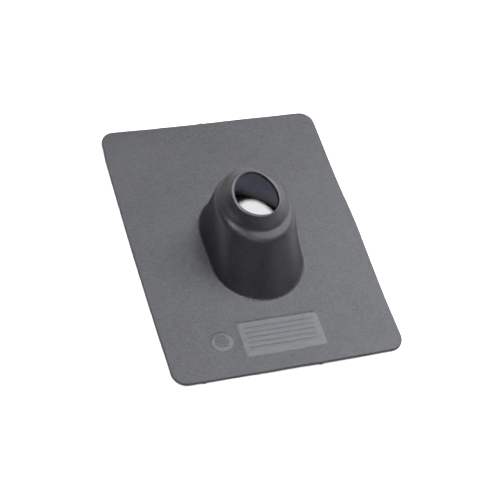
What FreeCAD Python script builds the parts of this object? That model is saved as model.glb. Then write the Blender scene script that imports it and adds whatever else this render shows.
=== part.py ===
import FreeCAD, Part
import math, os
from FreeCAD import Vector, Matrix

# ---------------------------------------------------------------- driving sizes (mm)
# Flange sheet. +Y is the end without the raised pad, +Z is away from the roof.
# The origin is the middle of the sheet's underside.
plate_w = 266.7          # along X
plate_l = 342.9          # along Y
plate_t = 3.3
plate_corner_r = 16.8
plate_edge_round = 0.9   # top edge of the sheet

# Foot of the boot where it rises from the sheet: two half circles and two
# straight sides.
foot_r = 53.8
foot_y_front = -30.8     # centre of the front half circle
foot_y_back = 10.8       # centre of the back half circle
foot_fillet = 1.6

# The ledge, the collar and the lip lean forwards together by this angle.
collar_lean = 9.0        # degrees, towards -Y

# Outer edge of the ledge: a circle in the leaning plane.
shoulder_c = (8.0, 56.8)       # its centre (y, z)
shoulder_r = 46.0
shoulder_round = 4.0

# Inner edge of the ledge, where the collar starts.
ledge_c = (11.6, 60.0)
ledge_r = 39.8

# Lip of the collar.
lip_c = (10.4, 72.7)
lip_r_out = 28.9
bore_r = 26.0
bore_step = 0.6          # the wall steps out by this below the bore
bore_land = 5.0          # straight wall of the bore with its two bevels
bore_bevel_top = 0.8
bore_bevel_low = 0.4
lip_round = 0.9          # outer edge of the lip

wall = 3.2               # wall of the moulding

# Raised pad near the front edge, and a plain round pad beside it.
pad_w, pad_l, pad_h, pad_corner = 91.0, 41.0, 0.6, 3.0
pad_c = (0.0, -131.7)
disc_r, disc_h = 11.5, 0.4
disc_c = (-68.0, -129.6)

# ---------------------------------------------------------------- helpers
lean = math.radians(collar_lean)
up = Vector(0, -math.sin(lean), math.cos(lean))      # axis of the collar
back = Vector(0, math.cos(lean), math.sin(lean))     # in its plane, to +Y
side = Vector(1, 0, 0)

N = 48   # points on each closed section


def closed_wire(pts):
    curve = Part.BSplineCurve()
    curve.interpolate(pts, PeriodicFlag=True)
    return Part.Wire([curve.toShape()])


def ring_pts(centre, r):
    c = Vector(0, centre[0], centre[1]) if len(centre) == 2 else Vector(*centre)
    out = []
    for k in range(N):
        a = 2 * math.pi * k / N
        out.append(c + side * (r * math.cos(a)) + back * (r * math.sin(a)))
    return out


def foot_pts(grow, z):
    """Closed section of the foot at height z, grown outwards by grow."""
    r = foot_r + grow
    mid = (foot_y_front + foot_y_back) / 2.0
    half = (foot_y_back - foot_y_front) / 2.0
    out = []
    for k in range(N):
        a = 2 * math.pi * k / N
        dx, dy = math.cos(a), math.sin(a)
        # distance from the middle to the outline along this direction
        if abs(dx) > 1e-9 and abs(r * dy / dx) <= half:
            d = r / abs(dx)
        else:
            b = half * abs(dy)
            d = b + math.sqrt(b * b - half * half + r * r)
        out.append(Vector(d * dx, mid + d * dy, z))
    return out


def ring(centre, r):
    return closed_wire(ring_pts(centre, r))


def foot(grow, z):
    return closed_wire(foot_pts(grow, z))


def rounded(below, corner, above, size, steps):
    """Sections that round the corner between two walls, up to size mm back."""
    rows = []
    for j in range(steps + 1):
        t = j / float(steps)
        row = []
        for p, q, s in zip(below, corner, above):
            back_by = min(size, 0.45 * (s - q).Length)
            a = q + (p - q).normalize() * back_by
            b = q + (s - q).normalize() * back_by
            row.append(a * (1 - t) ** 2 + q * (2 * t * (1 - t)) + b * t ** 2)
        rows.append(closed_wire(row))
    return rows


def along(c, h, shift=0.0):
    v = Vector(0, c[0], c[1]) + up * h + back * shift
    return (v.x, v.y, v.z)


def loft(wires):
    return Part.makeLoft(wires, True, True)


def rounded_box(w, l, h, r, cx, cy, z):
    b = Part.makeBox(w, l, h, Vector(cx - w / 2, cy - l / 2, z))
    vert = [e for e in b.Edges
            if abs(e.Vertexes[0].Z - e.Vertexes[1].Z) > h / 2]
    return b.makeFillet(r, vert)


# ---------------------------------------------------------------- flange sheet
sheet = rounded_box(plate_w, plate_l, plate_t, plate_corner_r, 0, 0, 0)
sheet = sheet.makeFillet(plate_edge_round,
                         [e for e in sheet.Edges
                          if e.BoundBox.ZMin > plate_t - 1e-6])

pad = rounded_box(pad_w, pad_l, pad_h + 0.5, pad_corner,
                  pad_c[0], pad_c[1], plate_t - 0.5)
disc = Part.makeCylinder(disc_r, disc_h + 0.5,
                         Vector(disc_c[0], disc_c[1], plate_t - 0.5))

# ---------------------------------------------------------------- boot, outside
outline = foot_pts(0, plate_t)
rim_outer = ring_pts(shoulder_c, shoulder_r)
rim_inner = ring_pts(ledge_c, ledge_r)
shell = loft([closed_wire(outline)]
             + rounded(outline, rim_outer, rim_inner, shoulder_round, 4)
             + [closed_wire(rim_inner), ring(lip_c, lip_r_out)])


def edges_near(shape, centre, r, tol=0.25):
    """Edges that lie on the circle (centre, r) of the leaning plane."""
    c = Vector(*centre) if len(centre) == 3 else Vector(0, centre[0], centre[1])
    out = []
    for e in shape.Edges:
        ok = True
        for p in e.discretize(12):
            d = p - c
            h = d.dot(up)
            rr = math.sqrt(d.dot(side) ** 2 + d.dot(back) ** 2)
            if abs(h) > tol or abs(rr - r) > tol:
                ok = False
                break
        if ok:
            out.append(e)
    return out


body = sheet.fuse([shell, pad, disc]).removeSplitter()
foot_edges = []
for e in body.Edges:
    bb = e.BoundBox
    if (bb.ZMax - bb.ZMin < 1e-3 and abs(bb.ZMin - plate_t) < 1e-3
            and bb.XLength > foot_r and bb.YLength > foot_r
            and bb.XLength < 2.5 * foot_r):
        foot_edges.append(e)
body = body.makeFillet(foot_fillet, foot_edges)

# ---------------------------------------------------------------- boot, inside
lip_h = (Vector(0, lip_c[0], lip_c[1]) - Vector(0, ledge_c[0], ledge_c[1])).dot(up)
land_h = lip_h - bore_land
inner = loft([
    foot(-wall, -2.0), foot(-wall, 1.2),
    ring(along(shoulder_c, -wall, 0.2), shoulder_r - wall),
    ring(along(ledge_c, -wall), ledge_r - 1.2),
    ring(along(lip_c, -bore_land), bore_r + bore_step),
])
bore = Part.makeCylinder(bore_r, bore_land + 6.0,
                         Vector(*along(lip_c, -bore_land - 1.0)), up)
body = body.cut(inner).cut(bore)

# lip: rounded outside, bevelled inside, and a small bevel where the bore ends
body = body.makeFillet(lip_round, edges_near(body, lip_c, lip_r_out, 0.05))
body = body.makeChamfer(bore_bevel_top, edges_near(body, lip_c, bore_r, 0.05))
body = body.makeChamfer(bore_bevel_low,
                        edges_near(body, along(lip_c, -bore_land), bore_r, 0.02))

body = body.removeSplitter()
if body.ShapeType == "Compound" and len(body.Solids) == 1:
    body = body.Solids[0]

bb = body.optimalBoundingBox(False)
print("valid", body.isValid(), "solids", len(body.Solids), "faces", len(body.Faces))
print("volume cm3 %.1f" % (body.Volume / 1000.0))
print("box %.2f..%.2f %.2f..%.2f %.2f..%.2f" % (bb.XMin, bb.XMax, bb.YMin, bb.YMax, bb.ZMin, bb.ZMax))
for f in body.Faces:
    if isinstance(f.Surface, Part.Cylinder) and abs(f.Surface.Radius - bore_r) < 1e-6:
        u0, u1, v0, v1 = f.ParameterRange
        mid = f.Surface.Center + f.Surface.Axis * ((v0 + v1) / 2)
        print("bore wall: length %.3f, middle (%.3f, %.3f, %.3f), axis (%.5f, %.5f, %.5f)"
              % (abs(v1 - v0), mid.x, mid.y, mid.z, f.Surface.Axis.x, f.Surface.Axis.y, f.Surface.Axis.z))

os.makedirs("parts", exist_ok=True)
body.exportStep("parts/flashing_boot.step")
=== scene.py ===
import math

import bmesh
import bpy
import numpy as np
from mathutils import Matrix, Vector
from mathutils.geometry import delaunay_2d_cdt


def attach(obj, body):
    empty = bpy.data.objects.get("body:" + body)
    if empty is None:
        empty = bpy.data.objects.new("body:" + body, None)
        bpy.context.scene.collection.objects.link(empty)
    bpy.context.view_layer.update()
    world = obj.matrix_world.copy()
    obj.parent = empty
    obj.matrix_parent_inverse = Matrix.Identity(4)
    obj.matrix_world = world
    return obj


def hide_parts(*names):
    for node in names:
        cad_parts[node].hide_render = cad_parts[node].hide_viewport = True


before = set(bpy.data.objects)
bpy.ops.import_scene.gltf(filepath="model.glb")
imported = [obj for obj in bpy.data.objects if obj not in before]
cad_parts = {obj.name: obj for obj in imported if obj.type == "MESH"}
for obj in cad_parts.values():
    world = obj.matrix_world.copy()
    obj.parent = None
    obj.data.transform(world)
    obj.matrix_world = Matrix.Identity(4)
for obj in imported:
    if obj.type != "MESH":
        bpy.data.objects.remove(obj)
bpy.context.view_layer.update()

MM = 0.001

# ------------------------------------------------------------------ sizes (mm)
PLATE_W, PLATE_L, T = 266.7, 342.9, 3.3
CORNER_R = 16.8
EDGE_R = 1.0            # rounding of the sheet's top edge
EDGE_LOW = 0.3          # small rounding of its lower edge

N = 256                 # points round the boot

# foot of the boot: two half circles and straight sides, slightly out of true
FOOT_R, FOOT_Y0, FOOT_Y1 = 53.8, -30.8, 10.8
FOOT_X = 0.95
FOOT_H = ((0.27, 0.11), (-0.04, 0.17))   # soft deviation: 2 and 3 lobes (cos, sin)
FOOT_FILLET = 2.5

SHOULDER = dict(c=(0.39, 7.23, 56.5), r=46.2, tilt=(3.97, -7.11))
LEDGE = dict(c=(-0.63, 11.92, 60.0), r=40.48, tilt=(6.48, -9.96))
RIM = dict(c=(-0.50, 10.22, 72.7), r=29.15, tilt=(6.48, -9.96))
MOUTH = dict(c=(-0.30, 10.40, 72.7), tilt=(6.40, -9.50))
SHOULDER_ROUND = 4.0
LEDGE_FILLET = 2.6
COLLAR_BOW = 0.35       # the collar flares a little towards the ledge
LIP_ROUND = 0.9         # outer edge of the lip
LIP_INNER = 0.35        # its inner edge
BORE_LAND = 5.0
BORE_STEP = 0.6
WALL = 3.2

PAD_W, PAD_L, PAD_H, PAD_R = 91.0, 41.0, 0.38, 3.4
PAD_C = (-0.4, -129.4)
DISC_R, DISC_H = 11.5, 0.30
DISC_C = (-68.2, -127.6)

LIFT = 1.6              # the back left corner stands this much off the floor

rng = np.random.default_rng(7)


# ------------------------------------------------------------------ helpers
def smooth(e0, e1, x):
    t = np.clip((x - e0) / (e1 - e0), 0.0, 1.0)
    return t * t * (3.0 - 2.0 * t)


def unit(v):
    return v / np.maximum(np.linalg.norm(v, axis=-1, keepdims=True), 1e-12)


WAVES = []
for lam, amp, count in ((95.0, 0.10, 5), (46.0, 0.055, 7), (21.0, 0.022, 9)):
    for _ in range(count):
        a = rng.uniform(0, 2 * math.pi)
        k = 2 * math.pi / (lam * rng.uniform(0.75, 1.3))
        WAVES.append((k * math.cos(a), k * math.sin(a), rng.uniform(0, 2 * math.pi),
                      amp / math.sqrt(count)))


def swell(x, y):
    """Soft unevenness of the sheet, in mm."""
    out = np.zeros_like(x)
    for kx, ky, ph, amp in WAVES:
        out += amp * np.sin(kx * x + ky * y + ph)
    return out


# where the front edge doesn't quite lie down: x, y, reach along x and y, mm
GAPS = ((14.0, -178.0, 48.0, 30.0, 1.15), (-140.0, -180.0, 26.0, 34.0, 1.5))


def lift(x, y):
    """How far the sheet stands off the floor at its back left corner and along its front edge."""
    d = np.hypot(x + PLATE_W / 2, y - PLATE_L / 2)
    out = LIFT * smooth(115.0, 0.0, d) ** 1.2
    for x0, y0, rx, ry, mm in GAPS:
        out = out + mm * np.exp(-((x - x0) / rx) ** 2 - ((y - y0) / ry) ** 2)
    return out


def inside(poly, p):
    """Which points p lie in the closed polygon."""
    x, y = p[:, 0][:, None], p[:, 1][:, None]
    a, b = poly, np.roll(poly, -1, 0)
    hit = (a[:, 1] > y) != (b[:, 1] > y)
    with np.errstate(divide="ignore", invalid="ignore"):
        cross = (b[:, 0] - a[:, 0]) * (y - a[:, 1]) / (b[:, 1] - a[:, 1]) + a[:, 0]
    return (hit & (x < cross)).sum(1) % 2 == 1


def inside_big(poly, p, chunk=4000):
    return np.concatenate([inside(poly, p[i:i + chunk]) for i in range(0, len(p), chunk)])


def near(poly, p, chunk=3000):
    """Distance of each point to the nearest vertex of the loop."""
    out = []
    for i in range(0, len(p), chunk):
        d = p[i:i + chunk][:, None] - poly[None]
        out.append(np.sqrt((d ** 2).sum(2)).min(1))
    return np.concatenate(out)


# ------------------------------------------------------------------ sheet outline
def wave(side, u):
    c = EDGE_WAVES[side]
    return sum(a * math.cos(math.pi * j * u) for j, a in enumerate(c))


# how far each edge stands out from the true rectangle, in mm, along the edge
EDGE_WAVES = {
    "left": (0.59, -0.05, -0.53, -0.08, -0.09, -0.07, -0.05, -0.03, -0.02),
    "right": (-0.2, 0.0, -0.61, -0.08, 0.46, 0.0, -0.04, 0.06, 0.04),
    "back": (0.02, -0.02, 0.05, 0.10, 0.05, 0.04, 0.03, 0.0, 0.02),
    "front": (0.06, -0.1, -0.27, 0.12, -0.06, 0.07, 0.01, 0.0, -0.1),
}
# soft dips at the back left corner: side, place along it, depth, reach
DIPS = [("left", 157.0, 1.4, 17.0), ("back", -100.0, 0.45, 36.0)]
# little nubs of flash left on the edges: side, place along it, height, half width
NUBS = [("back", -7.5, 1.0, 1.7), ("front", 32.0, 0.8, 2.6), ("front", -100.3, 0.7, 2.2)]


def outline():
    """Points, outward normals of the sheet's outline, anticlockwise from +X."""
    hw, hl, r = PLATE_W / 2, PLATE_L / 2, CORNER_R
    lx, ly = hw - 20.0, hl - 20.0

    def off(side, s):
        lim = ly if side in ("left", "right") else lx
        u = min(max((s + lim) / (2 * lim), 0.0), 1.0)
        v = wave(side, u)
        for sd, s0, h, w in NUBS:
            if sd == side:
                v += h * math.exp(-((s - s0) / w) ** 2)
        for sd, s0, h, w in DIPS:
            if sd == side:
                v -= h * math.exp(-((s - s0) / w) ** 2)
        return v

    pts, nrm = [], []

    def straight(side, a, b, n):
        for i in range(n):
            s = a + (b - a) * i / n
            d = off(side, s)
            p = {"right": (hw + d, s), "left": (-hw - d, s),
                 "back": (s, hl + d), "front": (s, -hl - d)}[side]
            q = {"right": (1, 0), "left": (-1, 0), "back": (0, 1), "front": (0, -1)}[side]
            pts.append(p)
            nrm.append(q)

    def corner(cx, cy, a0, d0, d1, n=14):
        for i in range(n):
            t = i / n
            a = a0 + t * math.pi / 2
            d = d0 + (d1 - d0) * t * t * (3 - 2 * t)
            pts.append((cx + (r + d) * math.cos(a), cy + (r + d) * math.sin(a)))
            nrm.append((math.cos(a), math.sin(a)))

    ex, ey = hw - r, hl - r
    straight("right", -ey, ey, 190)
    corner(ex, ey, 0.0, off("right", ey), off("back", ex))
    straight("back", ex, -ex, 150)
    corner(-ex, ey, math.pi / 2, off("back", -ex), off("left", ey))
    straight("left", ey, -ey, 190)
    corner(-ex, -ey, math.pi, off("left", -ey), off("front", -ex))
    straight("front", -ex, ex, 150)
    corner(ex, -ey, 1.5 * math.pi, off("front", ex), off("right", -ey))
    p = np.array(pts)
    # true normals of the wavy outline
    t = unit(np.roll(p, -1, 0) - np.roll(p, 1, 0))
    n = np.stack([t[:, 1], -t[:, 0]], 1)
    return p, n


OUT_P, OUT_N = outline()


# ------------------------------------------------------------------ boot rings
THETA = np.linspace(0.0, 2 * math.pi, N, endpoint=False)


def vary(table):
    """How far a ring stands out from true, in mm, from (degrees, mm) pairs."""
    a = np.array([d for d, _ in table], float)
    v = np.array([m for _, m in table], float)
    out = np.interp(np.degrees(THETA), np.concatenate([a - 360, a, a + 360]), np.tile(v, 3))
    k = np.hanning(13)[1:-1]
    return sum(w * np.roll(out, j - 5) for j, w in enumerate(k)) / k.sum()


FOOT_VARY = vary(((180, -0.5), (200, -0.8), (218, -0.3), (232, 0.8), (245, 1.2), (256, 0.8),
                  (267, 0.1), (278, -0.6), (298, -0.7), (312, -0.4), (325, 0.2), (345, 0.0),
                  (365, -0.3), (385, -0.4), (410, 0.0)))
SHOULDER_VARY = vary(((105, 0.1), (130, 0.9), (150, 1.4), (165, 1.3), (182, 0.3), (196, -0.5),
                      (209, -0.6), (220, -1.2), (230, -2.4), (241, -2.9), (252, -2.3), (263, -0.9), (276, 0.4),
                      (288, 0.8), (302, 0.9), (316, 0.3), (335, -0.2), (360, 0.0)))
LEDGE_VARY = vary(((180, 0.0), (212, 0.5), (226, 0.5), (236, -0.4), (246, -1.6), (256, -2.4),
                   (267, -2.2), (279, -2.1), (291, -1.9), (304, -1.6), (316, -1.8), (329, -1.1),
                   (345, -0.4), (360, -0.1)))
# where the ledge stands a little higher, and where the collar flares more towards it
LEDGE_RAISE = vary(((165, 0.0), (185, 0.3), (198, 0.65), (210, 1.0), (220, 0.8), (230, 0.5),
                    (240, 0.6), (250, 0.0), (260, 0.1), (272, 0.5), (285, 0.5), (300, 0.2),
                    (320, 0.0)))
FLARE = vary(((150, 0.0), (175, 0.15), (195, 0.2), (225, 0.1), (250, 0.0)))


def foot(grow):
    """Foot outline grown outwards, as (x, y)."""
    c, s = np.cos(THETA), np.sin(THETA)
    mid, half = (FOOT_Y0 + FOOT_Y1) / 2, (FOOT_Y1 - FOOT_Y0) / 2
    r = FOOT_R + grow
    flat = np.abs(r * s) <= half * np.abs(c)
    b = half * np.abs(s)
    d = np.where(flat, r / np.maximum(np.abs(c), 1e-9),
                 b + np.sqrt(np.maximum(b * b - half * half + r * r, 0.0)))
    d = d + FOOT_H[0][0] * np.cos(2 * THETA) + FOOT_H[0][1] * np.sin(2 * THETA)
    d = d + FOOT_H[1][0] * np.cos(3 * THETA) + FOOT_H[1][1] * np.sin(3 * THETA) + FOOT_VARY
    # the straight sides run into the half circles without a break
    k = np.array([0.06, 0.24, 0.40, 0.24, 0.06])
    d = sum(w * np.roll(d, j - 2) for j, w in enumerate(k)) / k.sum()
    return np.stack([FOOT_X + d * c, mid + d * s], 1)


def basis(tilt):
    n = np.array([math.tan(math.radians(tilt[0])), math.tan(math.radians(tilt[1])), 1.0])
    n /= np.linalg.norm(n)
    a = np.cross([0.0, 1.0, 0.0], n)
    a /= np.linalg.norm(a)
    return n, a, np.cross(n, a)


def ring(c, tilt, r, sink=0.0):
    n, a, b = basis(tilt)
    r = np.broadcast_to(r, THETA.shape)[:, None]
    return (np.array(c) - sink * n) + r * (np.cos(THETA)[:, None] * a + np.sin(THETA)[:, None] * b)


def mouth_r(extra=0.0, soften=1.0):
    t = THETA
    dev = (-0.14 * np.cos(t) - 0.08 * np.sin(t) - 0.33 * np.cos(2 * t) - 0.38 * np.sin(2 * t)
           - 0.20 * np.cos(3 * t) - 0.68 * np.sin(3 * t))
    return 26.25 + extra + soften * dev


def bend(a, q, b, steps, first=True):
    """Rows of a rounded corner from a over q to b."""
    rows = []
    for j in range(0 if first else 1, steps + 1):
        t = j / steps
        rows.append(a * (1 - t) ** 2 + q * (2 * t * (1 - t)) + b * t * t)
    return rows


def run(a, b, steps):
    """Rows strictly between a and b."""
    return [a + (b - a) * (j / steps) for j in range(1, steps)]


def towards(p, q, d):
    """Points on p-q, at distance d from p."""
    d = np.broadcast_to(d, THETA.shape)[:, None]
    return p + unit(q - p) * d


def span(p, q):
    return np.linalg.norm(q - p, axis=1)


z = np.full((N, 1), T)
f2 = foot(0.0)
ft = unit(np.roll(f2, -1, 0) - np.roll(f2, 1, 0))
fn = np.stack([ft[:, 1], -ft[:, 0], np.zeros(N)], 1)
P_foot = np.hstack([f2, z])
P_sh = ring(SHOULDER["c"], SHOULDER["tilt"], SHOULDER["r"] + SHOULDER_VARY)
P_le = ring(LEDGE["c"], LEDGE["tilt"], LEDGE["r"] + LEDGE_VARY)
P_le = P_le + LEDGE_RAISE[:, None] * np.array([-0.32, -0.515, 0.795])
P_ro = ring(RIM["c"], RIM["tilt"], RIM["r"])
P_ri = ring(MOUTH["c"], MOUTH["tilt"], mouth_r())

a_foot = P_foot + fn * FOOT_FILLET
b_foot = towards(P_foot, P_sh, FOOT_FILLET)
sh = np.minimum(SHOULDER_ROUND, 0.45 * span(P_sh, P_le))
c_sh, d_sh = towards(P_sh, P_foot, sh), towards(P_sh, P_le, sh)
lf = np.minimum(LEDGE_FILLET, 0.35 * span(P_sh, P_le))
e_le, f_le = towards(P_le, P_sh, lf), towards(P_le, P_ro, lf)
g_ro, h_ro = towards(P_ro, P_le, LIP_ROUND), towards(P_ro, P_ri, LIP_ROUND)
bore_end = ring(MOUTH["c"], MOUTH["tilt"], mouth_r(0.0, 0.75), BORE_LAND)
i_ri, j_ri = towards(P_ri, P_ro, LIP_INNER), towards(P_ri, bore_end, LIP_INNER)
step_a = ring(MOUTH["c"], MOUTH["tilt"], mouth_r(0.25, 0.75), BORE_LAND + 0.25)
step_b = ring(MOUTH["c"], MOUTH["tilt"], mouth_r(BORE_STEP, 0.7), BORE_LAND + 0.35)
in_le = ring(LEDGE["c"], LEDGE["tilt"], LEDGE["r"] - 1.6 + LEDGE_VARY, WALL)
in_sh = ring(SHOULDER["c"], SHOULDER["tilt"], SHOULDER["r"] - WALL + SHOULDER_VARY, WALL - 0.2)
fi = foot(-WALL)
in_low = np.hstack([fi, np.full((N, 1), 1.2)])
in_end = np.hstack([fi, np.full((N, 1), 0.35)])
fi0 = foot(-WALL + 0.35)
P_mouth0 = np.hstack([fi0, np.zeros((N, 1))])

rows = []                       # every row after the one shared with the sheet
rows += bend(a_foot, P_foot, b_foot, 6, first=False)
rows += run(b_foot, c_sh, 22)
rows += bend(c_sh, P_sh, d_sh, 7)
rows += run(d_sh, e_le, 6)
rows += bend(e_le, P_le, f_le, 5)
collar = run(f_le, g_ro, 12)
away = unit(np.cross(unit(np.roll(P_le, -1, 0) - np.roll(P_le, 1, 0)), unit(g_ro - f_le)))
for k, row in enumerate(collar):
    rows.append(row - away * (COLLAR_BOW + FLARE[:, None]) * math.sin(math.pi * (k + 1) / 12))
LIP_FIRST = len(rows)
rows += bend(g_ro, P_ro, h_ro, 5)
rows += run(h_ro, i_ri, 3)
rows += bend(i_ri, P_ri, j_ri, 5)
LIP_LAST = len(rows) - 4
rows += run(j_ri, bore_end, 3)
OUTER_ROWS = len(rows)
rows += [bore_end, step_a, step_b]
rows += run(step_b, in_le, 8) + [in_le] + run(in_le, in_sh, 3) + [in_sh]
rows += run(in_sh, in_low, 14) + [in_low, in_end]

# the moulding is not perfectly true: soft dents a tenth of a millimetre deep
for k, row in enumerate(rows):
    x, y, zz = row[:, 0], row[:, 1], row[:, 2]
    w = smooth(T, T + 12.0, zz) * smooth(76.0, 60.0, zz)
    rad = unit(np.stack([x, y - 4.0, np.zeros(N)], 1))
    amt = 0.16 * np.sin(zz / 9.0 + 3.1 * THETA) * np.sin(2 * THETA + 0.7) \
        + 0.10 * np.sin(5 * THETA + zz / 6.0 + 1.3)
    rows[k] = row + rad * (amt * w)[:, None]


# ------------------------------------------------------------------ relief on the sheet
def arc_pts(cx, cy, r, a0, a1, n):
    return [(cx + r * math.cos(a0 + (a1 - a0) * i / n), cy + r * math.sin(a0 + (a1 - a0) * i / n))
            for i in range(n)]


def rounded_rect(cx, cy, w, l, r, off, step=2.0, narc=7, turn=0.0):
    """Closed loop, anticlockwise."""
    w, l, r = w / 2 + off, l / 2 + off, max(r + off, 0.15)
    pts = []
    for sx, sy, a0 in ((1, 1, 0.0), (-1, 1, 0.5), (-1, -1, 1.0), (1, -1, 1.5)):
        pts += arc_pts(sx * (w - r), sy * (l - r), r, a0 * math.pi, (a0 + 0.5) * math.pi, narc)
        last = (sx * (w - r) + r * math.cos((a0 + 0.5) * math.pi),
                sy * (l - r) + r * math.sin((a0 + 0.5) * math.pi))
        nx = {0.0: (-(w - r), l), 0.5: (-w, -(l - r)), 1.0: (w - r, -l), 1.5: (w, l - r)}[a0]
        d = math.hypot(nx[0] - last[0], nx[1] - last[1])
        m = max(1, int(round(d / step)))
        for i in range(m):
            if d > 0.05 or i == 0:
                pts.append((last[0] + (nx[0] - last[0]) * i / m,
                            last[1] + (nx[1] - last[1]) * i / m))
    p = np.array(pts)
    keep = np.linalg.norm(p - np.roll(p, 1, 0), axis=1) > 1e-3
    p = p[keep]
    c, s = math.cos(turn), math.sin(turn)
    return np.stack([cx + c * p[:, 0] - s * p[:, 1], cy + s * p[:, 0] + c * p[:, 1]], 1)


def circle(cx, cy, r, n):
    return np.array(arc_pts(cx, cy, r, 0.0, 2 * math.pi, n))


LOOPS = []        # (points, height above the sheet)
PAD_SLOPE = ((3.2, 0.0), (2.4, 0.14), (1.5, 0.5), (0.7, 0.86), (0.1, 1.0))
DISC_SLOPE = ((1.5, 0.0), (1.1, 0.14), (0.6, 0.5), (0.2, 0.86), (-0.2, 1.0))


def raise_shape(make, base, h, profile):
    for off, share in profile:
        LOOPS.append((make(off), base + h * share))


# the raised pad
raise_shape(lambda o: rounded_rect(*PAD_C, PAD_W, PAD_L, PAD_R, o, 1.8, 8), 0.0, PAD_H, PAD_SLOPE)
# plain long ribs on it, from side to side
RIBS, RIB_W, RIB_L, RIB_H, RIB_PITCH = 5, 2.2, 79.0, 0.16, 6.2
RIB_C = (PAD_C[0] + 0.3, PAD_C[1] + 0.4)
RIB_PROFILE = ((0.55, 0.0), (0.20, 0.30), (-0.20, 0.80), (-0.60, 1.0))
BAR_PROFILE = ((0.42, 0.0), (0.16, 0.30), (-0.12, 0.80), (-0.40, 1.0))
for j in range(RIBS):
    cy = RIB_C[1] + (j - (RIBS - 1) / 2) * RIB_PITCH
    raise_shape(lambda o: rounded_rect(RIB_C[0], cy, RIB_L, RIB_W, RIB_W / 2 - 0.02, o, 1.6, 6),
                PAD_H, RIB_H, RIB_PROFILE)
# the round mark: a low disc with five plain bars across it
raise_shape(lambda o: circle(*DISC_C, DISC_R + o, 60), 0.0, DISC_H, DISC_SLOPE)
for k in range(-2, 3):
    half = math.sqrt(7.6 ** 2 - (2.6 * k) ** 2)
    raise_shape(lambda o: rounded_rect(DISC_C[0], DISC_C[1] + 2.6 * k, 2 * half, 1.1, 0.5, o, 2.2, 4),
                DISC_H, 0.20, BAR_PROFILE)


def relief(p):
    """Height above the sheet of free points."""
    h = np.zeros(len(p))
    dx = np.abs(p[:, 0] - PAD_C[0]) - PAD_W / 2
    dy = np.abs(p[:, 1] - PAD_C[1]) - PAD_L / 2
    h[(dx < -0.4) & (dy < -0.4)] = PAD_H
    r = np.hypot(p[:, 0] - DISC_C[0], p[:, 1] - DISC_C[1])
    h[r < DISC_R] = DISC_H
    return h


def hexes(step, box, jitter):
    x0, x1, y0, y1 = box
    nx, ny = int((x1 - x0) / step) + 2, int((y1 - y0) / (step * 0.866)) + 2
    i, j = np.meshgrid(np.arange(nx), np.arange(ny))
    x = x0 + (i + 0.5 * (j % 2)) * step
    y = y0 + j * step * 0.866
    p = np.stack([x.ravel(), y.ravel()], 1)
    return p + rng.uniform(-jitter, jitter, p.shape)


top_out = OUT_P - OUT_N * EDGE_R
low_out = OUT_P - OUT_N * EDGE_LOW
hole_top = a_foot[:, :2]
hole_low = P_mouth0[:, :2]

hold = OUT_P - OUT_N * (EDGE_R + 0.9)          # a second loop keeps the edge's shading flat
hold_foot = foot(FOOT_FILLET + 1.1)


def fill(step, jitter, loops, gap):
    p = hexes(step, (-PLATE_W / 2, PLATE_W / 2, -PLATE_L / 2, PLATE_L / 2), jitter)
    ok = inside_big(loops[0], p) & ~inside_big(loops[1], p)
    p = p[ok]
    ok = np.ones(len(p), bool)
    for lp in loops:
        ok &= near(lp, p) > gap
    return p[ok]


free = fill(2.15, 0.28, [hold, hold_foot], 1.25)
# keep free points off the relief, and give the pad's margin its own
dx = np.abs(free[:, 0] - PAD_C[0]) - PAD_W / 2
dy = np.abs(free[:, 1] - PAD_C[1]) - PAD_L / 2
pad_d = np.maximum(dx, dy)
r_d = np.hypot(free[:, 0] - DISC_C[0], free[:, 1] - DISC_C[1])
bars_d = np.maximum(np.abs(free[:, 0] - RIB_C[0]) - RIB_L / 2 - 0.8,
                    np.abs(free[:, 1] - RIB_C[1]) - RIBS * RIB_PITCH / 2)
free = free[((pad_d > 4.3) | (pad_d < -1.1)) & ~((pad_d < 0) & (bars_d < 0.7))
            & ~(r_d < DISC_R + 2.7)]


def triangulate(loops, free_pts):
    verts, edges, marks = [], [], []
    for lp in loops:
        s, n = len(verts), len(lp)
        marks.append((s, n))
        verts += [Vector((float(p[0]), float(p[1]))) for p in lp]
        edges += [(s + i, s + (i + 1) % n) for i in range(n)]
    verts += [Vector((float(p[0]), float(p[1]))) for p in free_pts]
    v, _, f, ov, _, _ = delaunay_2d_cdt(verts, edges, [], 0, 1e-5)
    where = {}
    for k, olds in enumerate(ov):
        for o in olds:
            where[o] = k
    xy = np.array([(p.x, p.y) for p in v])
    tri = np.array([t for t in f if len(t) == 3], dtype=np.int64)
    mid = xy[tri].mean(1)
    ok = inside_big(np.array(loops[0]), mid) & ~inside_big(np.array(loops[1]), mid)
    return xy, tri[ok], where, marks


# ------------------------------------------------------------------ one closed mesh
coords, faces = [], []


def add_rows(new):
    s = sum(len(c) for c in coords)
    coords.append(np.asarray(new, float))
    return s


def bridge(a, b, flip=False):
    n = len(a)
    for i in range(n):
        j = (i + 1) % n
        q = (a[i], a[j], b[j], b[i])
        faces.append(q[::-1] if flip else q)


# top of the sheet
loops_top = [top_out, hole_top, hold, hold_foot] + [lp for lp, _ in LOOPS]
heights = [0.0, 0.0, 0.0, 0.0] + [h for _, h in LOOPS]
xy, tri, where, marks = triangulate(loops_top, free)
h = relief(xy)
for (s, n), hh in zip(marks, heights):
    for i in range(n):
        h[where[s + i]] = hh
used = np.unique(tri)
remap = -np.ones(len(xy), np.int64)
remap[used] = np.arange(len(used))
xu = xy[used]
zt = T + h[used] + swell(xu[:, 0], xu[:, 1]) + lift(xu[:, 0], xu[:, 1])
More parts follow.
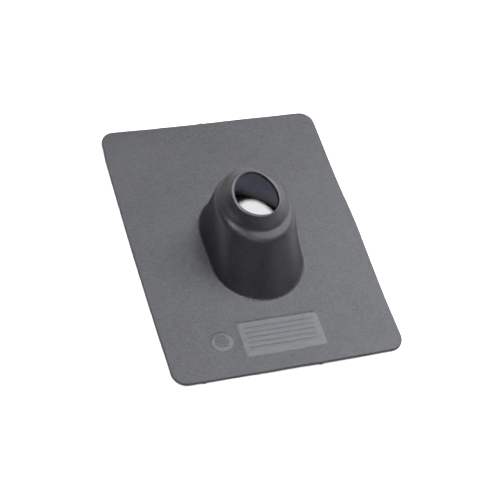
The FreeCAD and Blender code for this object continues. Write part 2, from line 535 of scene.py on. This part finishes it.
# the sheet's top, swell and lift included; the boot's lowest rows take up the same swell and lift further
# down, so that both meet
base = add_rows(np.column_stack([xu, zt]))
for t in tri:
    faces.append(tuple(int(base + remap[k]) for k in t))
edge_top = [int(base + remap[where[marks[0][0] + i]]) for i in range(marks[0][1])]
foot_loop = [int(base + remap[where[marks[1][0] + i]]) for i in range(marks[1][1])]
TOP_COUNT = len(used)


def sheet_z(p, zz):
    """Height of a point of the sheet's edge, swell fading to nothing at the underside."""
    k = np.clip(zz / T, 0, 1)
    return zz + k * swell(p[:, 0], p[:, 1]) + lift(p[:, 0], p[:, 1])


# edge of the sheet
prev = edge_top
for j in range(1, 5):
    a = j / 4 * math.pi / 2
    p = OUT_P - OUT_N * EDGE_R * (1 - math.sin(a))
    zz = sheet_z(p, np.full(len(p), T - EDGE_R * (1 - math.cos(a))))
    s = add_rows(np.column_stack([p, zz]))
    cur = list(range(s, s + len(p)))
    bridge(prev, cur, flip=True)
    prev = cur
for inset, zz0 in ((0.0, 1.3), (0.0, EDGE_LOW), (0.09, 0.09), (EDGE_LOW, 0.0)):
    p = OUT_P - OUT_N * inset
    s = add_rows(np.column_stack([p, sheet_z(p, np.full(len(p), zz0))]))
    cur = list(range(s, s + len(p)))
    bridge(prev, cur, flip=True)
    prev = cur
edge_low = prev

# boot, outside and inside
prev = foot_loop
foot_fix = swell(P_foot[:, 0], P_foot[:, 1]) + lift(P_foot[:, 0], P_foot[:, 1])
LIP_VERTS, INNER_VERTS = [], []
for k, row in enumerate(rows):
    fade = np.clip(1.0 - (row[:, 2] - T) / 25.0, 0.0, 1.0) * np.clip(row[:, 2] / T, 0.0, 1.0)
    r2 = row.copy()
    r2[:, 2] += foot_fix * fade
    s = add_rows(r2)
    cur = list(range(s, s + N))
    if LIP_FIRST <= k <= LIP_LAST:
        LIP_VERTS += cur
    if k >= OUTER_ROWS:
        INNER_VERTS += cur
    bridge(prev, cur)
    prev = cur
s = add_rows(P_mouth0)
cur = list(range(s, s + N))
bridge(prev, cur)
mouth_loop = cur

# underside of the sheet
free_low = fill(7.0, 0.8, [low_out, hole_low], 3.5)
xy2, tri2, where2, marks2 = triangulate([low_out, hole_low], free_low)
glue = {}
for i in range(marks2[0][1]):
    glue[where2[marks2[0][0] + i]] = edge_low[i]
for i in range(marks2[1][1]):
    glue[where2[marks2[1][0] + i]] = mouth_loop[i]
rest = [k for k in np.unique(tri2) if k not in glue]
p = xy2[rest]
s = add_rows(np.column_stack([p, lift(p[:, 0], p[:, 1])]))
for i, k in enumerate(rest):
    glue[k] = s + i
for t in tri2:
    faces.append(tuple(int(glue[k]) for k in t[::-1]))

V = np.vstack(coords)
me = bpy.data.meshes.new("flashing_boot_skin")
me.from_pydata((V * MM).tolist(), [], faces)
me.validate()
me.update()
bm = bmesh.new()
bm.from_mesh(me)
open_edges = sum(1 for e in bm.edges if len(e.link_faces) != 2)
bmesh.ops.recalc_face_normals(bm, faces=bm.faces)
vol = bm.calc_volume(signed=True)
if vol < 0:
    bmesh.ops.reverse_faces(bm, faces=bm.faces)
bm.to_mesh(me)
print("skin: verts %d faces %d open edges %d volume %.1f cm3" %
      (len(bm.verts), len(bm.faces), open_edges, abs(vol) * 1e6))
bm.free()
me.polygons.foreach_set("use_smooth", np.ones(len(me.polygons), bool))

# the pad, the round mark and the lip are smoother; the inside of the boot gets its own copy of the elastomer,
# whose colours are painted light: a bluish cast for the light reflected inside and painted shade towards the
# floor
SMOOTH_SIDE, PAINTED_INSIDE_SLOT = 1, 2
x, y, zz = V[:, 0], V[:, 1], V[:, 2]
padm = np.minimum(PAD_W / 2 - np.abs(x - PAD_C[0]), PAD_L / 2 - np.abs(y - PAD_C[1]))
markm = DISC_R - np.hypot(x - DISC_C[0], y - DISC_C[1])
polished = ((padm > -1.6) | (markm > -0.7)) & (zz > 2.0)
polished[LIP_VERTS] = True
painted_inside = np.zeros(len(V), bool)
painted_inside[INNER_VERTS] = True
index = np.zeros(len(me.polygons), np.int32)
for k, poly in enumerate(me.polygons):
    vs = list(poly.vertices)
    if painted_inside[vs].all():
        index[k] = PAINTED_INSIDE_SLOT
    elif polished[vs].all():
        index[k] = SMOOTH_SIDE
me.polygons.foreach_set("material_index", index)
me.update()

boot = bpy.data.objects.new("flashing_boot_skin", me)
bpy.context.scene.collection.objects.link(boot)


# ------------------------------------------------------------------ materials
def node(nt, kind, **kw):
    n = nt.nodes.new(kind)
    for k, v in kw.items():
        setattr(n, k, v)
    return n


def elastomer(name, dark, light, sheen, tint, rough_lo, rough_hi, depth, glint=0.0,
              low=None):
    """Charcoal elastomer with a fine pebbled grain; low, if given, paints shade towards the floor: near the
    floor the base colour turns to low and the specular level drops.
    """
    m = bpy.data.materials.new(name)
    m.use_nodes = True
    nt = m.node_tree
    nt.nodes.clear()
    out = node(nt, "ShaderNodeOutputMaterial")
    bs = node(nt, "ShaderNodeBsdfPrincipled")
    bs.inputs["Specular IOR Level"].default_value = sheen
    bs.inputs["Specular Tint"].default_value = tint + (1,)
    tc = node(nt, "ShaderNodeTexCoord")
    L = nt.links.new

    def noise(scale, detail, rough):
        n = node(nt, "ShaderNodeTexNoise")
        n.inputs["Scale"].default_value = scale
        n.inputs["Detail"].default_value = detail
        n.inputs["Roughness"].default_value = rough
        L(tc.outputs["Object"], n.inputs["Vector"])
        return n.outputs["Fac"]

    def math_(op, a, b=None):
        n = node(nt, "ShaderNodeMath", operation=op)
        for i, v in enumerate((a, b)):
            if v is None:
                continue
            if isinstance(v, (int, float)):
                n.inputs[i].default_value = v
            else:
                L(v, n.inputs[i])
        return n.outputs[0]

    def remap(v, a, b, c, d):
        n = node(nt, "ShaderNodeMapRange")
        n.inputs["From Min"].default_value = a
        n.inputs["From Max"].default_value = b
        n.inputs["To Min"].default_value = c
        n.inputs["To Max"].default_value = d
        L(v, n.inputs["Value"])
        return n.outputs["Result"]

    broad = noise(16.0, 3.0, 0.5)
    patch = noise(85.0, 3.0, 0.55)
    grain = noise(430.0, 2.0, 0.6)
    fine = noise(1200.0, 1.5, 0.5)
    pebble = math_("ADD", math_("MULTIPLY", grain, 0.75), math_("MULTIPLY", fine, 0.25))

    # colour: charcoal, a little lighter and darker in patches and in the grain
    mixv = math_("ADD", math_("MULTIPLY", broad, 0.35), math_("MULTIPLY", patch, 0.30))
    mixv = math_("ADD", mixv, math_("MULTIPLY", grain, 0.35))
    ramp = node(nt, "ShaderNodeValToRGB")
    ramp.color_ramp.elements[0].position = 0.30
    ramp.color_ramp.elements[0].color = dark + (1,)
    ramp.color_ramp.elements[1].position = 0.70
    ramp.color_ramp.elements[1].color = light + (1,)
    L(mixv, ramp.inputs["Fac"])
    sep = node(nt, "ShaderNodeSeparateXYZ")
    L(tc.outputs["Object"], sep.inputs[0])
    if low is None:
        L(ramp.outputs["Color"], bs.inputs["Base Color"])
    else:
        # painted shade: near the floor the colour turns to low and the specular level drops, darkening the
        # inside there
        mix = node(nt, "ShaderNodeMix", data_type="RGBA")
        mix.inputs[6].default_value = low + (1,)
        L(remap(sep.outputs["Z"], 0.013, 0.027, 0.0, 1.0), mix.inputs[0])
        L(ramp.outputs["Color"], mix.inputs[7])
        L(mix.outputs[2], bs.inputs["Base Color"])
        L(remap(sep.outputs["Z"], 0.004, 0.026, 0.70 * sheen, sheen),
          bs.inputs["Specular IOR Level"])

    rough = remap(math_("ADD", math_("MULTIPLY", pebble, 0.7), math_("MULTIPLY", patch, 0.3)),
                  0.3, 0.7, rough_lo, rough_hi)
    L(rough, bs.inputs["Roughness"])

    # the grain is flatter on the boot, where the moulding was stretched off its core
    grip = remap(sep.outputs["Z"], 0.005, 0.014, 1.0, 0.45)
    if glint:
        shift = math_("MULTIPLY", math_("SUBTRACT", pebble, 0.5), math_("MULTIPLY", grip, glint))
        L(math_("ADD", shift, sheen), bs.inputs["Specular IOR Level"])
    bump = node(nt, "ShaderNodeBump")
    bump.inputs["Strength"].default_value = 0.55
    bump.inputs["Distance"].default_value = depth
    L(math_("MULTIPLY", pebble, grip), bump.inputs["Height"])
    L(bump.outputs["Normal"], bs.inputs["Normal"])
    L(bs.outputs["BSDF"], out.inputs["Surface"])
    return m


boot.data.materials.append(elastomer("charcoal_elastomer", (0.0060, 0.0056, 0.0065),
                                     (0.0097, 0.0092, 0.0107), 0.546, (0.914, 0.936, 1.0),
                                     0.42, 0.50, 0.0008, 0.62))
boot.data.materials.append(elastomer("charcoal_elastomer_smooth", (0.0060, 0.0056, 0.0065),
                                     (0.0097, 0.0092, 0.0107), 0.632, (0.914, 0.936, 1.0),
                                     0.36, 0.45, 0.0004))
# painted light: the inside's copy has a strong blue base colour and a blue specular tint standing in for the
# bluish light reflected inside, and painted shade towards the floor
boot.data.materials.append(elastomer("charcoal_elastomer_inside_painted_light", (0.0110, 0.0150, 0.0740),
                                     (0.0160, 0.0215, 0.1040), 0.56, (0.74, 0.79, 1.0),
                                     0.42, 0.50, 0.0006, 0.0, (0.0240, 0.0200, 0.0150)))
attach(boot, "root")
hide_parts("flashing_boot")

# ------------------------------------------------------------------ floor
fm = bpy.data.meshes.new("floor")
fm.from_pydata([(-20, -20, -0.0002), (20, -20, -0.0002), (20, 20, -0.0002), (-20, 20, -0.0002)],
               [], [(0, 1, 2, 3)])
floor = bpy.data.objects.new("floor", fm)
bpy.context.scene.collection.objects.link(floor)
mf = bpy.data.materials.new("floor_white")
mf.use_nodes = True
b = mf.node_tree.nodes["Principled BSDF"]
b.inputs["Base Color"].default_value = (0.852, 0.852, 0.852, 1)
b.inputs["Roughness"].default_value = 0.9
b.inputs["Specular IOR Level"].default_value = 0.1
fm.materials.append(mf)


# ------------------------------------------------------------------ lights
def sun(name, direction, angle_deg, strength, color=(1, 1, 1)):
    d = bpy.data.lights.new(name, "SUN")
    d.angle = math.radians(angle_deg)
    d.energy = strength
    d.color = color
    o = bpy.data.objects.new(name, d)
    o.rotation_mode = "QUATERNION"
    o.rotation_quaternion = Vector(direction).to_track_quat("Z", "Y")
    bpy.context.scene.collection.objects.link(o)
    return o


def panel(name, direction, away, size, strength):
    """A round soft panel near the object; strength is what it gives at the origin, as a sun's."""
    d = bpy.data.lights.new(name, "AREA")
    d.shape = "DISK"
    d.size = size
    d.energy = strength * math.pi * away * away
    o = bpy.data.objects.new(name, d)
    v = Vector(direction).normalized()
    o.location = v * away
    o.rotation_mode = "QUATERNION"
    o.rotation_quaternion = v.to_track_quat("Z", "Y")
    o.visible_camera = False
    bpy.context.scene.collection.objects.link(o)
    return o


sun("spot", (-0.2545, -0.2200, 1.0), 5, 3.05)        # small lamp nearly overhead
sun("panel_back", (0.222, 0.384, 0.896), 34, 2.33)
panel("panel_right", (0.62, 0.40, 0.67), 2.0, 0.70, 1.38)
sun("fill_right", (0.966, 0.162, 0.208), 36, 1.27)
sun("fill_front", (0.640, -0.740, 0.208), 34, 0.38)
sun("fill_left", (-0.575, 0.791, 0.208), 34, 0.48)
sun("fill_left_high", (-0.65, 0.48, 0.59), 34, 0.40)

world = bpy.data.worlds.new("studio")
world.use_nodes = True
world.node_tree.nodes["Background"].inputs["Color"].default_value = (1, 1, 1, 1)
world.node_tree.nodes["Background"].inputs["Strength"].default_value = 0.01
bpy.context.scene.world = world
bpy.context.scene.view_settings.view_transform = "Standard"

# ------------------------------------------------------------------ camera
cd = bpy.data.cameras.new("camera")
cam = bpy.data.objects.new("camera", cd)
bpy.context.scene.collection.objects.link(cam)
F_PX = 1408.2
cd.sensor_width = 36.0
cd.lens = F_PX / 500.0 * 36.0
cd.clip_start, cd.clip_end = 0.05, 60.0
az, el, roll = math.radians(-31.838), math.radians(52.666), math.radians(18.292)
tx, ty, dist = -3.110, 11.600, 1595.0
back = Vector((math.sin(az) * math.cos(el), -math.cos(az) * math.cos(el), math.sin(el)))
right0 = Vector((0, 0, 1)).cross(back).normalized()
up0 = back.cross(right0)
right = right0 * math.cos(roll) + up0 * math.sin(roll)
up = -right0 * math.sin(roll) + up0 * math.cos(roll)
loc = (-tx * right - ty * up + dist * back) * MM
m = Matrix.Identity(4)
for i, v in enumerate((right, up, back, loc)):
    for j in range(3):
        m[j][i] = v[j]
cam.matrix_world = m
bpy.context.scene.camera = cam
